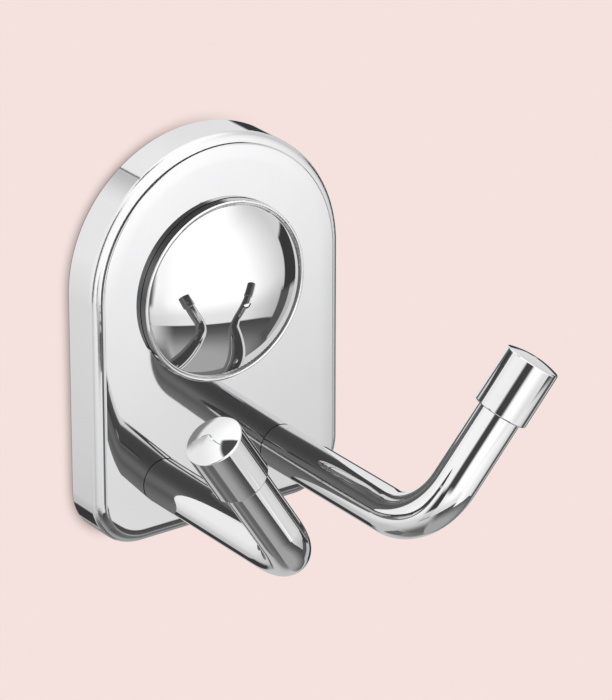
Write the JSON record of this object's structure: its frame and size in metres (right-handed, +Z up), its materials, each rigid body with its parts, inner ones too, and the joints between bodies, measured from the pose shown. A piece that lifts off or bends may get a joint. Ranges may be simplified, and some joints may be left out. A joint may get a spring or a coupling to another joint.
{
  "type": "robe hook",
  "caption": "Wall-mounted robe hook in polished chrome: an arch-topped base with a domed cover, and round rod arms that bend up and outwards to capped tips.",
  "frame": {"origin": "on the wall plane, midway between the two wall-screw holes, which is on the dome cover's axis", "axes": "+X to the right as seen from the room, +Y into the wall, +Z up"},
  "size_m": [0.0834, 0.0705, 0.0842],
  "materials": {
    "base": "polished",
    "cover": "polished",
    "rod": "polished",
    "cap": "polished",
    "fastener": "zinc plated"
  },
  "bodies": {
    "root": {"base_plate": "base", "dome_cover": "cover", "left_hook": "rod", "right_hook": "rod", "left_tip_cap": "cap", "right_tip_cap": "cap", "left_hook_screw": "fastener", "right_hook_screw": "fastener", "left_flat_washer": "fastener", "right_flat_washer": "fastener", "left_lock_washer": "fastener", "right_lock_washer": "fastener"}
  },
  "joints": []
}
